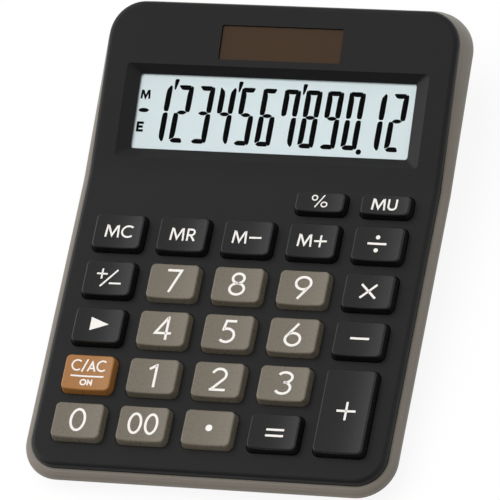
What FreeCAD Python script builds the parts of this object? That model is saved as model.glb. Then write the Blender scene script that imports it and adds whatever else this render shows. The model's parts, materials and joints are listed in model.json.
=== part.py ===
import FreeCAD, Part
import math
import os
import re
import Sketcher
from FreeCAD import Placement, Rotation, Vector

# Desk calculator: a black front shell and a taupe tray, 26 sprung keys, a display and a solar cell.
# The frame stands on the middle of the base, X to the right, Y to the rear and Z up, in millimetres.

# Driving sizes, in millimetres and degrees.
SIZES = {
    # Tilt of the two faces of the front shell
    "keyboard_tilt": 5.0,
    "display_tilt": 15.2,
    "bend_radius": 30.0,
    # Keys: size of the top face, gaps between top faces, and margins to the edges of the keyboard face
    "key_width": 13.8,
    "key_length": 10.05,
    "short_key_length": 5.7,
    "column_gap": 4.95,
    "row_gap": 4.25,
    "short_row_gap": 3.9,
    "front_margin": 7.65,
    "bend_margin": 3.9,
    "side_margin": 6.6,
    "key_rise": 2.4,
    "key_draft": 0.6,
    "key_corner": 1.9,
    "key_wall": 1.2,
    "key_roof": 1.4,
    "key_edge": 0.45,
    "dish_depth": 0.4,
    "key_clearance": 0.2,
    "key_travel": 1.3,
    "stop_gap": 0.05,
    "crush_gap": 0.2,
    "flange_wall": 0.9,
    "flange_reach": 0.9,
    "flange_length": 4.0,
    "stem_radius": 1.8,
    # Front shell
    "plate_wall": 1.8,
    "panel_corner": 8.5,
    "rear_corner": 9.8,
    "panel_edge": 1.5,
    "lip_inset": 1.4,
    "lip_wall": 1.4,
    "lip_depth": 2.2,
    "lip_clearance": 0.1,
    "seam_gap": 0.15,
    # Display recess, display and its holder
    "recess_setback": 5.1,
    "view_width": 80.4,
    "view_length": 21.6,
    "view_corner": 0.8,
    "view_shift": 0.25,
    "recess_slope_width": 3.85,
    "recess_slope_length": 2.75,
    "recess_corner": 1.2,
    "glass_overlap": 1.6,
    "lens_wall": 0.5,
    "lcd_wall": 1.9,
    "holder_wall": 1.4,
    "holder_floor": 1.0,
    "holder_clearance": 0.1,
    "ribbon_width": 56.0,
    "ribbon_wall": 0.2,
    "ribbon_landing": 2.4,
    # Solar window and cell
    "solar_gap": 1.95,
    "solar_width": 35.4,
    "solar_length": 10.0,
    "solar_corner": 0.4,
    "solar_sink": 0.55,
    "solar_clearance": 0.1,
    "solar_overlap": 0.9,
    "solar_flange": 0.6,
    "solar_cell_wall": 1.2,
    "lead_spacing": 30.0,
    "lead_wall": 0.7,
    "rear_margin": 6.9,
    # Tray
    "rim_flare": 2.25,
    "rear_flare": 3.4,
    "rim_drop": 4.1,
    "rim_tilt": 10.5,
    "base_side_tuck": 10.0,
    "base_end_tuck": 4.0,
    "base_corner": 8.0,
    "tray_wall": 2.6,
    "floor_wall": 1.8,
    "floor_tuck": 1.4,
    # Mat and circuit board
    "mat_wall": 0.5,
    "mat_margin": 1.2,
    "dome_foot": 3.0,
    "short_dome_foot": 2.4,
    "dome_skin": 0.4,
    "board_wall": 1.0,
    "board_clearance": 0.95,
    "board_tail": 4.4,
    "chip_radius": 5.0,
    "chip_height": 1.3,
    "chip_edge": 0.9,
    "capacitor_radius": 2.5,
    "capacitor_edge": 0.5,
    "capacitor_height": 4.5,
    # Screws and the bosses that take them
    "boss_radius": 1.75,
    "boss_hole_clearance": 0.35,
    "post_radius": 3.2,
    "post_roof": 1.6,
    "rear_post_gap": 2.2,
    "rear_post_setback": 9.5,
    "rear_post_height": 9.0,
    "screw_radius": 0.9,
    "screw_bite": 2.2,
    "screw_head_radius": 1.8,
    "screw_head_height": 1.2,
    "screw_slot_length": 2.5,
    "screw_slot_width": 0.5,
    "screw_slot_depth": 0.6,
    "pilot_clearance": 0.02,
    "bore_clearance": 0.25,
    "board_head_height": 0.6,
    # Button cell, its contacts and the door
    "cell_x": -18.0,
    "cell_y": 4.0,
    "cell_radius": 5.8,
    "cell_height": 3.05,
    "cell_room": 0.9,
    "cell_ring_wall": 1.4,
    "cell_ring_height": 3.0,
    "contact_wall": 0.25,
    "contact_width": 4.0,
    "contact_leaf": 5.0,
    "door_wall": 1.2,
    "door_margin": 3.2,
    "door_tab": 7.0,
    "door_corner": 2.0,
    "door_clearance": 0.15,
    # Feet
    "foot_radius": 5.0,
    "foot_rise": 1.0,
    "foot_sink": 0.6,
    "foot_edge": 0.4,
    "foot_clearance": 0.1,
    "foot_side_inset": 7.5,
    "foot_end_inset": 9.0,
}

# Sizes that follow from the driving ones.
DERIVED = {
    "column_pitch": "key_width + column_gap",
    "row_pitch": "key_length + row_gap",
    "tall_key_length": "2 * key_length + row_gap",
    "keyboard_length": "front_margin + 5 * key_length + 4 * row_gap + short_row_gap"
                       " + short_key_length + bend_margin",
    "first_row": "front_margin + key_length / 2 - keyboard_length",
    "short_row": "-(bend_margin + short_key_length / 2)",
    "dish_radius": "(key_width ^ 2 / 4 + dish_depth ^ 2) / (2 * dish_depth)",
    "key_taper": "atan(key_draft / key_rise)",
    "recess_width": "view_width + 2 * recess_slope_width",
    "recess_length": "view_length + 2 * recess_slope_length",
    "recess_middle": "recess_setback + recess_length / 2",
    "solar_middle": "recess_setback + recess_length + solar_gap + solar_length / 2",
    "display_length": "recess_setback + recess_length + solar_gap + solar_length + rear_margin",
    "panel_width": "4 * column_pitch + key_width + 2 * side_margin",
    "panel_depth": "keyboard_length * cos(keyboard_tilt) + display_length * cos(display_tilt)",
    "case_width": "panel_width + 2 * rim_flare",
    "case_depth": "rim_flare + panel_depth + rear_flare",
    "panel_front": "rim_flare - case_depth / 2",
    "panel_rear": "panel_front + panel_depth",
    "panel_middle": "panel_front + panel_depth / 2",
    "flange_bottom": "-(plate_wall + stop_gap + flange_wall)",
    "mat_top": "flange_bottom - key_travel - crush_gap",
    "board_top": "mat_top - mat_wall",
    "board_bottom": "board_top - board_wall",
    "dome_height": "flange_bottom - mat_top",
    "floor_top": "foot_rise + floor_wall",
    "front_height": "floor_top + board_clearance - board_bottom",
    "bend_y": "panel_front + keyboard_length * cos(keyboard_tilt)",
    "bend_z": "front_height + keyboard_length * sin(keyboard_tilt)",
    "seam_drop": "plate_wall / cos(display_tilt) + seam_gap",
    "rim_depth": "rim_drop / cos(keyboard_tilt)",
    "block_height": "bend_z + display_length",
    "lens_bottom": "-(plate_wall + lens_wall)",
    "lcd_bottom": "lens_bottom - lcd_wall",
    "holder_bottom": "lcd_bottom - holder_floor",
    "glass_width": "view_width + 2 * glass_overlap",
    "glass_length": "view_length + 2 * glass_overlap",
    "holder_width": "glass_width + 2 * holder_clearance + 2 * holder_wall",
    "holder_length": "glass_length + 2 * holder_clearance + 2 * holder_wall",
    "solar_flange_bottom": "-(plate_wall + solar_flange)",
    "solar_cell_bottom": "solar_flange_bottom - solar_cell_wall",
    "board_width": "4 * column_pitch + 2 * dome_foot + 4 * mat_margin",
    "board_front": "first_row - dome_foot - 2 * mat_margin",
    "board_rear": "board_tail - bend_margin + mat_margin",
    "mat_width": "4 * column_pitch + 2 * dome_foot + 2 * mat_margin",
    "mat_front": "first_row - dome_foot - mat_margin",
    "mat_rear": "short_row + short_dome_foot + mat_margin",
    "screw_reach": "post_roof + board_wall + screw_bite",
    "rear_post_x": "solar_width / 2 + solar_overlap + rear_post_gap + post_radius",
    "base_front": "panel_front - rim_flare + base_end_tuck",
    "base_rear": "panel_rear + rear_flare - base_end_tuck",
    "base_half": "case_width / 2 - base_side_tuck",
    "cell_bottom": "foot_rise + door_wall",
    "cell_top": "cell_bottom + cell_height",
    "cell_ring_inner": "cell_radius + cell_room",
    "door_width": "2 * cell_ring_inner + 2 * door_margin + door_tab",
    "door_length": "2 * cell_ring_inner + 2 * door_margin",
    "door_screw_x": "cell_x + cell_ring_inner + door_margin + door_tab / 2",
}

COLUMNS = 5
ROWS = 5
TALL = "tall"
SHORT = "short"

# Keys with their column, counted from the left, and their row, counted from the front.
KEYS = {
    "key_0": (0, 0),
    "key_00": (1, 0),
    "key_point": (2, 0),
    "key_equals": (3, 0),
    "key_plus": (4, TALL),
    "key_clear": (0, 1),
    "key_1": (1, 1),
    "key_2": (2, 1),
    "key_3": (3, 1),
    "key_delete": (0, 2),
    "key_4": (1, 2),
    "key_5": (2, 2),
    "key_6": (3, 2),
    "key_minus": (4, 2),
    "key_sign": (0, 3),
    "key_7": (1, 3),
    "key_8": (2, 3),
    "key_9": (3, 3),
    "key_multiply": (4, 3),
    "key_memory_clear": (0, 4),
    "key_memory_recall": (1, 4),
    "key_memory_minus": (2, 4),
    "key_memory_plus": (3, 4),
    "key_divide": (4, 4),
    "key_percent": (3, SHORT),
    "key_mark_up": (4, SHORT),
}

# Screw places among the keys: the column gap to the right of the column, and the row gap behind the row.
BOARD_SCREWS = [(0, 0), (2, 0), (0, 2), (3, 2), (0, 4), (3, 4)]
CASE_SCREWS = [(0, 1), (3, 1)]
SIDES = {"left": -1, "right": 1}

# The corner radius of the front shell at either end.
ZONE_CORNERS = {"front": "panel_corner", "rear": "rear_corner"}

# Keys under which the chip and the capacitor sit on the board.
CHIP_PLACE = (3, 3)
CAPACITOR_PLACE = (4, 4)

# Numbers of the upright edges of a box, and of the circles at the ends of a cylinder.
UPRIGHT_EDGES = [1, 3, 5, 7]
UPPER_CIRCLE = 1
LOWER_CIRCLE = 3

# Sections in the rounded rim of the tray.
RIM_STEPS = 5

# How far an upright face and a flat face look upward, and the distance at which two places count as one.
UPRIGHT_RISE = 0.1
FLAT_RISE = 0.9
CLOSE = 1e-3

doc = FreeCAD.newDocument("desk_calculator")
sheet = doc.addObject("Spreadsheet::Sheet", "sizes")
nodes = {}


def fill_sheet():
    for line, (alias, size) in enumerate(SIZES.items(), start=1):
        sheet.set(f"A{line}", alias)
        sheet.set(f"B{line}", str(size))
        sheet.setAlias(f"B{line}", alias)
    doc.recompute()


def formula(text):
    """Write a size in words as an expression on the cells of the sheet."""
    def swap(match):
        word = match.group(0)
        if word in DERIVED:
            return "(" + formula(DERIVED[word]) + ")"
        if word in SIZES:
            return "sizes." + word
        return word
    return re.sub(r"[a-z_][a-z_0-9]*", swap, str(text))


def number(text):
    return float(sheet.evalExpression(formula(text)))


def bind(thing, **sizes):
    for field, text in sizes.items():
        thing.setExpression(field, formula(text))


def place(thing, frame, x="0", y="0", z="0"):
    """Put a thing in the level frame, or in the frame of a face that starts at the bend line."""
    if frame == "level":
        base = {"x": x, "y": y, "z": z}
    else:
        tilt = frame + "_tilt"
        base = {
            "x": x,
            "y": f"bend_y + ({y}) * cos({tilt}) - ({z}) * sin({tilt})",
            "z": f"bend_z + ({y}) * sin({tilt}) + ({z}) * cos({tilt})",
        }
        thing.Placement = Placement(Vector(), Rotation(Vector(1, 0, 0), number(tilt)))
        bind(thing, **{"Placement.Rotation.Angle": tilt})
    for axis, text in base.items():
        bind(thing, **{"Placement.Base." + axis: text})
    return thing


def add(kind, name, **sizes):
    thing = doc.addObject(kind, name)
    bind(thing, **sizes)
    return thing


def node(name, thing):
    """Keep a finished thing as the sub-part of that name."""
    thing.Label = name
    nodes[name] = thing
    return thing


def box(name, frame, width, length, height, x="0", y="0", z="0"):
    """A box centred on x and y, with its bottom at z."""
    thing = add("Part::Box", name, Length=width, Width=length, Height=height)
    return place(thing, frame, f"({x}) - ({width}) / 2", f"({y}) - ({length}) / 2", z)


def cylinder(name, frame, radius, height, x="0", y="0", z="0"):
    thing = add("Part::Cylinder", name, Radius=radius, Height=height)
    return place(thing, frame, x, y, z)


def cone(name, frame, foot, top, height, x="0", y="0", z="0"):
    thing = add("Part::Cone", name, Radius1=foot, Radius2=top, Height=height)
    return place(thing, frame, x, y, z)


def rounded_box(name, frame, width, length, height, corner, x="0", y="0", z="0"):
    """A box whose four upright edges are rounded."""
    block = box(name + "_block", frame, width, length, height, x, y, z)
    return rounded(name, block, corner, UPRIGHT_EDGES)


def rounded(name, base, radius, edges):
    thing = doc.addObject("Part::Fillet", name)
    thing.Base = base
    size = number(radius)
    thing.Edges = [(edge, size, size) for edge in edges]
    return thing


def fuse(name, things):
    thing = doc.addObject("Part::MultiFuse", name)
    thing.Shapes = things
    thing.Refine = True
    return thing


def common(name, things):
    thing = doc.addObject("Part::MultiCommon", name)
    thing.Shapes = things
    return thing


def group(name, things):
    thing = doc.addObject("Part::Compound", name)
    thing.Links = things
    return thing


def cut(name, base, tools):
    thing = doc.addObject("Part::Cut", name)
    thing.Base = base
    thing.Tool = tools[0] if len(tools) == 1 else group(name + "_tools", tools)
    return thing


def draw_rectangle(sketch, width, length, corner, rear_corner=None):
    """A rounded rectangle about the origin of the sketch; its rear corners may have a radius of their own."""
    rear_corner = rear_corner or corner
    half_x, half_y = number(width) / 2, number(length) / 2
    turn, rear_turn = number(corner), number(rear_corner)
    front_x, rear_x = half_x - turn, half_x - rear_turn
    front_y, rear_y = turn - half_y, half_y - rear_turn
    front = sketch.addGeometry(Part.LineSegment(Vector(-front_x, -half_y), Vector(front_x, -half_y)))
    right = sketch.addGeometry(Part.LineSegment(Vector(half_x, front_y), Vector(half_x, rear_y)))
    rear = sketch.addGeometry(Part.LineSegment(Vector(rear_x, half_y), Vector(-rear_x, half_y)))
    left = sketch.addGeometry(Part.LineSegment(Vector(-half_x, rear_y), Vector(-half_x, front_y)))
    sides = [front, right, rear, left]
    rounds = [(Vector(front_x, front_y), turn), (Vector(rear_x, rear_y), rear_turn),
              (Vector(-rear_x, rear_y), rear_turn), (Vector(-front_x, front_y), turn)]
    arcs = []
    for quarter, (centre, radius) in enumerate(rounds):
        start = (quarter - 1) * math.pi / 2
        circle = Part.Circle(centre, Vector(0, 0, 1), radius)
        arcs.append(sketch.addGeometry(Part.ArcOfCircle(circle, start, start + math.pi / 2)))
    rules = [("Horizontal", front), ("Horizontal", rear), ("Vertical", right), ("Vertical", left)]
    for quarter, arc in enumerate(arcs):
        rules.append(("Tangent", sides[quarter], 2, arc, 1))
        rules.append(("Tangent", arc, 2, sides[(quarter + 1) % 4], 1))
    rules.append(("Equal", arcs[0], arcs[3]))
    rules.append(("Equal", arcs[1], arcs[2]))
    hold(sketch, rules)
    measure(sketch, corner, "Radius", arcs[0])
    measure(sketch, rear_corner, "Radius", arcs[1])
    measure(sketch, width, "DistanceX", left, 1, right, 1)
    measure(sketch, f"({width}) / 2", "DistanceX", -1, 1, right, 1)
    measure(sketch, length, "DistanceY", front, 1, rear, 1)
    measure(sketch, f"({length}) / 2", "DistanceY", front, 1, -1, 1)
    return sketch


def hold(sketch, rules):
    """The constraints of a sketch that carry no size."""
    sketch.addConstraint([Sketcher.Constraint(*rule) for rule in rules])


def measure(sketch, text, kind, *points):
    """A dimension of a sketch, bound to its size."""
    index = sketch.addConstraint(Sketcher.Constraint(kind, *points, number(text)))
    sketch.setExpression(f"Constraints[{index}]", formula(text))


def draw_circle(sketch, radius, height="0"):
    """A circle on the second axis of the sketch, at that height."""
    centre = Vector(0, number(height))
    circle = sketch.addGeometry(Part.Circle(centre, Vector(0, 0, 1), number(radius)))
    rules = [("PointOnObject", circle, 3, -2)]
    if height == "0":
        rules.append(("PointOnObject", circle, 3, -1))
    hold(sketch, rules)
    measure(sketch, radius, "Radius", circle)
    if height != "0":
        measure(sketch, height, "DistanceY", -1, 1, circle, 3)
    return sketch


def draw_polygon(sketch, corners):
    """A polygon with every corner at its own place, given as pairs of sizes."""
    points = [Vector(number(x), number(y)) for x, y in corners]
    count = len(points)
    lines = []
    for index, point in enumerate(points):
        lines.append(sketch.addGeometry(Part.LineSegment(point, points[(index + 1) % count])))
    hold(sketch, [("Coincident", line, 2, lines[(index + 1) % count], 1)
                  for index, line in enumerate(lines)])
    for line, (x, y) in zip(lines, corners):
        measure(sketch, x, "DistanceX", -1, 1, line, 1)
        measure(sketch, y, "DistanceY", -1, 1, line, 1)
    return sketch


def draw_zone(sketch, half_width, reach, corner):
    """The outline of the part of the case on one side of the bend line, which is the sketch's first axis."""
    half, end, turn = number(half_width), number(reach), number(corner)
    rearward = end > 0
    start = end - turn if rearward else end + turn
    left = sketch.addGeometry(Part.LineSegment(Vector(-half, 0), Vector(-half, start)))
    across = sketch.addGeometry(Part.LineSegment(Vector(turn - half, end), Vector(half - turn, end)))
    right = sketch.addGeometry(Part.LineSegment(Vector(half, start), Vector(half, 0)))
    bend = sketch.addGeometry(Part.LineSegment(Vector(half, 0), Vector(-half, 0)))
    first = math.pi / 2 if rearward else math.pi
    left_circle = Part.Circle(Vector(turn - half, start), Vector(0, 0, 1), turn)
    left_arc = sketch.addGeometry(Part.ArcOfCircle(left_circle, first, first + math.pi / 2))
    second = 0 if rearward else math.pi * 3 / 2
    right_circle = Part.Circle(Vector(half - turn, start), Vector(0, 0, 1), turn)
    right_arc = sketch.addGeometry(Part.ArcOfCircle(right_circle, second, second + math.pi / 2))
    earlier, later = (2, 1) if rearward else (1, 2)
    hold(sketch, [
        ("Tangent", left, 2, left_arc, earlier),
        ("Tangent", left_arc, later, across, 1),
        ("Tangent", across, 2, right_arc, earlier),
        ("Tangent", right_arc, later, right, 1),
        ("Coincident", right, 2, bend, 1),
        ("Coincident", bend, 2, left, 1),
        ("Vertical", left),
        ("Vertical", right),
        ("Horizontal", across),
        ("Equal", left_arc, right_arc),
        ("Symmetric", bend, 1, bend, 2, -1, 1),
    ])
    measure(sketch, corner, "Radius", left_arc)
    measure(sketch, half_width, "DistanceX", -1, 1, bend, 1)
    measure(sketch, reach, "DistanceY", -1, 1, across, 1)
    return sketch


def free_sketch(name, frame, x="0", y="0", z="0"):
    return place(doc.addObject("Sketcher::SketchObject", name), frame, x, y, z)


def plan_block(name, inset="0"):
    """An upright block over the outline of the front shell, set in all round."""
    outline = free_sketch(name + "_outline", "level", y="panel_middle")
    draw_rectangle(outline, f"panel_width - 2 * {inset}", f"panel_depth - 2 * {inset}",
                   f"panel_corner - {inset}", f"rear_corner - {inset}")
    block = add("Part::Extrusion", name, LengthFwd="block_height")
    block.Base = outline
    block.DirMode = "Normal"
    block.Solid = True
    return block


def bent_slab(name, top, bottom):
    """A slab between two depths below the faces of the front shell, wider than the shell."""
    spare = "panel_corner"
    overlap = f"({top} - ({bottom})) / 2"
    height = f"{top} - ({bottom})"
    width = "case_width"
    front_length = f"keyboard_length + {spare} + {overlap}"
    front = box(name + "_front", "keyboard", width, front_length, height,
                y=f"({overlap} - keyboard_length - {spare}) / 2", z=bottom)
    rear_length = f"display_length + {spare}"
    rear = box(name + "_rear", "display", width, rear_length, height, y=f"({rear_length}) / 2", z=bottom)
    return fuse(name, [front, rear])


def loft(name, sections):
    thing = doc.addObject("Part::Loft", name)
    thing.Sections = sections
    thing.Solid = True
    thing.Ruled = True
    return thing


def new_body(name, frame, x="0", y="0", z="0"):
    return place(doc.addObject("PartDesign::Body", name), frame, x, y, z)


def body_sketch(body, name, role="XY_Plane", lift="0"):
    plane = [item for item in body.Origin.OriginFeatures if item.Role == role][0]
    sketch = body.newObject("Sketcher::SketchObject", body.Name + "_" + name)
    sketch.AttachmentSupport = [(plane, "")]
    sketch.MapMode = "FlatFace"
    bind(sketch, **{"AttachmentOffset.Base.z": lift})
    return sketch


def pad(body, sketch, height, taper=None, downward=False, both_ways=False):
    feature = body.newObject("PartDesign::Pad", sketch.Name + "_pad")
    feature.Profile = sketch
    feature.Reversed = downward
    feature.Midplane = both_ways
    bind(feature, Length=height)
    if taper:
        bind(feature, TaperAngle=taper)
    return feature


def pocket(body, sketch, depth, upward=False, both_ways=False):
    feature = body.newObject("PartDesign::Pocket", sketch.Name + "_pocket")
    feature.Profile = sketch
    feature.Reversed = upward
    feature.Midplane = both_ways
    bind(feature, Length=depth)
    return feature


def plate(name, frame, width, length, height, corner, x="0", y="0", z="0"):
    """A flat piece with rounded corners, with its bottom at z."""
    body = new_body(name, frame, x, y, z)
    outline = draw_rectangle(body_sketch(body, "outline"), width, length, corner)
    pad(body, outline, height)
    return body


def column_x(column):
    return f"{column - (COLUMNS - 1) / 2} * column_pitch"


def row_y(row):
    if row == SHORT:
        return "short_row"
    if row == TALL:
        return "first_row + row_pitch / 2"
    return f"first_row + {row} * row_pitch"


def key_length(row):
    return {SHORT: "short_key_length", TALL: "tall_key_length"}.get(row, "key_length")


def gap_x(column):
    return f"{column + 0.5 - (COLUMNS - 1) / 2} * column_pitch"


def gap_y(row):
    if row == ROWS - 1:
        return f"first_row + {row} * row_pitch + (key_length + short_row_gap) / 2"
    return f"first_row + {row + 0.5} * row_pitch"


def make_key(name, column, row):
    """A hollow keycap with a dished top, a stem for its dome and two tabs that stop it under the shell."""
    body = new_body(name, "keyboard", column_x(column), row_y(row))
    width = "key_width + 2 * key_draft"
    length = key_length(row) + " + 2 * key_draft"
    outline = draw_rectangle(body_sketch(body, "outline"), width, length, "key_corner")
    pad(body, outline, "key_rise", taper="-key_taper")
    skirt = draw_rectangle(body_sketch(body, "skirt"), width, length, "key_corner")
    pad(body, skirt, "-flange_bottom", downward=True)
    tabs = draw_rectangle(body_sketch(body, "tabs", lift="flange_bottom"),
                          width + " + 2 * flange_reach", "flange_length", "flange_reach / 2")
    pad(body, tabs, "flange_wall")
    room = "key_rise - key_roof - flange_bottom"
    hollow = draw_rectangle(body_sketch(body, "hollow", lift="flange_bottom"),
                            width + " - 2 * key_wall", length + " - 2 * key_wall", "key_corner - key_wall")
    pocket(body, hollow, room, upward=True)
    stem = draw_circle(body_sketch(body, "stem", lift="flange_bottom"), "stem_radius")
    pad(body, stem, room + " + key_roof / 4")
    dish = draw_circle(body_sketch(body, "dish", "XZ_Plane"), "dish_radius",
                       "key_rise - dish_depth + dish_radius")
    pocket(body, dish, "2 * tall_key_length", both_ways=True)
    node(name, body)


def soften_top(body):
    """Round the edge of the dished top of a key."""
    shape = body.Tip.Shape
    radius = number("dish_radius")
    tops = [face for face in shape.Faces
            if isinstance(face.Surface, Part.Cylinder) and abs(face.Surface.Radius - radius) < CLOSE]
    rim = [edge for face in tops for edge in face.OuterWire.Edges]
    names = [f"Edge{index}" for index, edge in enumerate(shape.Edges, start=1)
             if any(edge.isSame(other) for other in rim)]
    whole = body.Tip
    feature = body.newObject("PartDesign::Fillet", body.Name + "_edge")
    feature.Base = (whole, names)
    bind(feature, Radius="key_edge")


def make_keys():
    for name, (column, row) in KEYS.items():
        make_key(name, column, row)
    doc.recompute()
    for name in KEYS:
        soften_top(nodes[name])


def key_openings():
    spare = "plate_wall"
    openings = []
    for name, (column, row) in KEYS.items():
        width = "key_width + 2 * key_draft + 2 * key_clearance"
        length = key_length(row) + " + 2 * key_draft + 2 * key_clearance"
        openings.append(rounded_box("opening_of_" + name, "keyboard", width, length,
                                    "plate_wall + 2 * " + spare, "key_corner + key_clearance",
                                    column_x(column), row_y(row), f"-plate_wall - {spare}"))
    return openings


def display_recess():
    """The sunken recess over the display, with sloping walls."""
    rim = free_sketch("recess_rim", "display", y="recess_middle")
    draw_rectangle(rim, "recess_width", "recess_length", "recess_corner")
    window = free_sketch("recess_window", "display", y="recess_middle + view_shift", z="-plate_wall")
    draw_rectangle(window, "view_width", "view_length", "view_corner")
    return loft("display_recess", [window, rim])


def solar_opening():
    return rounded_box("solar_opening", "display", "solar_width", "solar_length", "3 * plate_wall",
                       "solar_corner", y="solar_middle", z="-2 * plate_wall")


def shell_edges(shape):
    """Numbers of the edges between the faces of the front shell and its upright sides."""
    found = []
    for index, edge in enumerate(shape.Edges, start=1):
        faces = shape.ancestorsOfType(edge, Part.Face)
        rises = sorted(face_rise(face) for face in faces)
        if rises[0] < UPRIGHT_RISE and rises[-1] > FLAT_RISE:
            found.append(index)
    return found


def face_rise(face):
    """How far a face looks upward, from -1 to 1, at its middle."""
    first_u, last_u, first_v, last_v = face.ParameterRange
    return face.normalAt((first_u + last_u) / 2, (first_v + last_v) / 2).z


def bend_edges(shape):
    """Numbers of the edges along the bend line on top of a slab."""
    height, middle = number("bend_z"), number("bend_y")
    found = []
    for index, edge in enumerate(shape.Edges, start=1):
        centre = edge.CenterOfMass
        if abs(centre.z - height) < CLOSE and abs(centre.y - middle) < CLOSE:
            found.append(index)
    return found


def make_upper_case():
    slab = bent_slab("shell_slab", "0", "-plate_wall")
    doc.recompute()
    bent = rounded("shell_bent", slab, "bend_radius", bend_edges(slab.Shape))
    outline = plan_block("shell_plan")
    sheet_part = common("shell_sheet", [bent, outline])
    doc.recompute()
    soft = rounded("shell_soft", sheet_part, "panel_edge", shell_edges(sheet_part.Shape))
    lip = make_lip()
    bosses = shell_bosses()
    whole = fuse("shell_whole", [soft, lip] + bosses)
    tools = key_openings() + [display_recess(), solar_opening()] + shell_pilots()
    node("upper_case", cut("upper_case", whole, tools))


def make_lip():
    """The lip under the edge of the front shell, which locates it inside the tray."""
    slab = bent_slab("lip_slab", "-plate_wall / 2", "-plate_wall - lip_depth")
    outer = plan_block("lip_outer", "lip_inset")
    inner = plan_block("lip_inner", "(lip_inset + lip_wall)")
    return common("lip", [slab, cut("lip_ring", outer, [inner])])


def shell_bosses():
    """Bosses under the front shell for the board screws and the case screws."""
    bosses = []
    for column, row in BOARD_SCREWS + CASE_SCREWS:
        bosses.append(cylinder(f"boss_{column}_{row}", "keyboard", "boss_radius",
                               "-board_top - plate_wall / 2", gap_x(column), gap_y(row), "board_top"))
    for side, sign in SIDES.items():
        bosses.append(rear_boss(side, sign))
    return bosses


def rear_boss(side, sign):
    """An upright post under the display face, trimmed by the slab of that face."""
    post = cylinder("rear_boss_" + side, "level", "post_radius", "block_height",
                    f"{sign} * rear_post_x", "panel_rear - rear_post_setback", "rear_post_height")
    cover = box("rear_boss_trim_" + side, "display", "4 * post_radius", "2 * display_length",
                "2 * block_height", f"{sign} * rear_post_x", "display_length / 2", "-plate_wall / 2")
    return cut("rear_boss_trimmed_" + side, post, [cover])


def shell_pilots():
    """Pilot holes for the screws in the bosses of the front shell."""
    radius = "screw_radius + pilot_clearance"
    depth = "screw_bite + pilot_clearance"
    pilots = []
    for column, row in BOARD_SCREWS + CASE_SCREWS:
        pilots.append(cylinder(f"pilot_{column}_{row}", "keyboard", radius, depth,
                               gap_x(column), gap_y(row), "board_top"))
    for side, sign in SIDES.items():
        pilots.append(cylinder("pilot_rear_" + side, "level", radius, f"{depth} + board_wall",
                               f"{sign} * rear_post_x", "panel_rear - rear_post_setback", "rear_post_height"))
    return pilots


def case_section(name, zone, flare, drop, tilt, corner):
    """A section of the outside of the tray: how far it flares, and how far it lies below the bend line."""
    sketch = doc.addObject("Sketcher::SketchObject", name)
    sketch.Placement = Placement(Vector(), Rotation(Vector(1, 0, 0), number(tilt)))
    bind(sketch, **{
        "Placement.Rotation.Angle": tilt,
        "Placement.Base.y": "bend_y",
        "Placement.Base.z": f"bend_z - ({drop})",
    })
    if zone == "front":
        reach = f"(panel_front - ({flare['front']}) - bend_y) / cos({tilt})"
    else:
        reach = f"(panel_rear + ({flare['rear']}) - bend_y) / cos({tilt})"
    draw_zone(sketch, f"panel_width / 2 + ({flare['side']})", reach, corner)
    return sketch


def rim_sections(zone):
    """Sections of the rounded rim, from the seam down to the widest line of the case."""
    sections = []
    for step in range(RIM_STEPS):
        angle = 90 * step / (RIM_STEPS - 1)
        out = math.sin(math.radians(angle))
        down = 1 - math.cos(math.radians(angle))
        flare = {"side": f"{out} * rim_flare", "front": f"{out} * rim_flare", "rear": f"{out} * rear_flare"}
        drop = f"seam_drop + {down} * (rim_depth - seam_drop)"
        if zone == "front":
            tilt = "keyboard_tilt"
        else:
            tilt = f"display_tilt + {out} * (rim_tilt - display_tilt)"
        corner = f"{ZONE_CORNERS[zone]} + {out} * rim_flare"
        sections.append(case_section(f"rim_{zone}_{step}", zone, flare, drop, tilt, corner))
    return sections


def base_section(zone):
    flare = {"side": "rim_flare - base_side_tuck", "front": "rim_flare - base_end_tuck",
             "rear": "rear_flare - base_end_tuck"}
    return case_section(f"base_{zone}", zone, flare, "bend_z - foot_rise", "0", "base_corner")


def hollow_sections(zone):
    """Sections of the room inside the tray: the mouth, the widest line and the floor."""
    mouth = "lip_clearance - lip_inset"
    mouth_flare = {"side": mouth, "front": mouth, "rear": mouth}
    wide_flare = {"side": "rim_flare - tray_wall", "front": "rim_flare - tray_wall",
                  "rear": "rear_flare - tray_wall"}
    floor_flare = {"side": "rim_flare - base_side_tuck - floor_tuck / 2",
                   "front": "rim_flare - base_end_tuck - floor_tuck",
                   "rear": "rear_flare - base_end_tuck - floor_tuck"}
    seam_tilt, wide_tilt = "keyboard_tilt", "keyboard_tilt"
    if zone == "rear":
        seam_tilt, wide_tilt = "display_tilt", "rim_tilt"
    corner = ZONE_CORNERS[zone]
    return [
        case_section(f"floor_{zone}", zone, floor_flare, "bend_z - floor_top", "0",
                     "base_corner - floor_tuck"),
        case_section(f"wide_{zone}", zone, wide_flare, "rim_depth", wide_tilt,
                     f"{corner} + rim_flare - tray_wall"),
        case_section(f"mouth_{zone}", zone, mouth_flare, "0", seam_tilt, f"{corner} + {mouth}"),
    ]


def make_lower_case():
    outsides = []
    hollows = []
    for zone in ("front", "rear"):
        outsides.append(loft(f"outside_{zone}", [base_section(zone)] + rim_sections(zone)[::-1]))
        hollows.append(loft(f"hollow_{zone}", hollow_sections(zone)))
    tray = cut("tray", fuse("outside", outsides), [fuse("hollow", hollows)])
    ring = cylinder("cell_ring", "level", "cell_ring_inner + cell_ring_wall",
                    "cell_ring_height + floor_wall / 2", "cell_x", "cell_y", "floor_top - floor_wall / 2")
    pad_boss = cylinder("door_boss", "level", "post_radius", "screw_bite + floor_wall / 2",
                        "door_screw_x", "cell_y", "floor_top - floor_wall / 2")
    whole = fuse("tray_whole", [tray, ring, pad_boss] + tray_posts())
    tools = tray_bores() + foot_seats() + door_cuts()
    node("lower_case", cut("lower_case", whole, tools))


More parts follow.
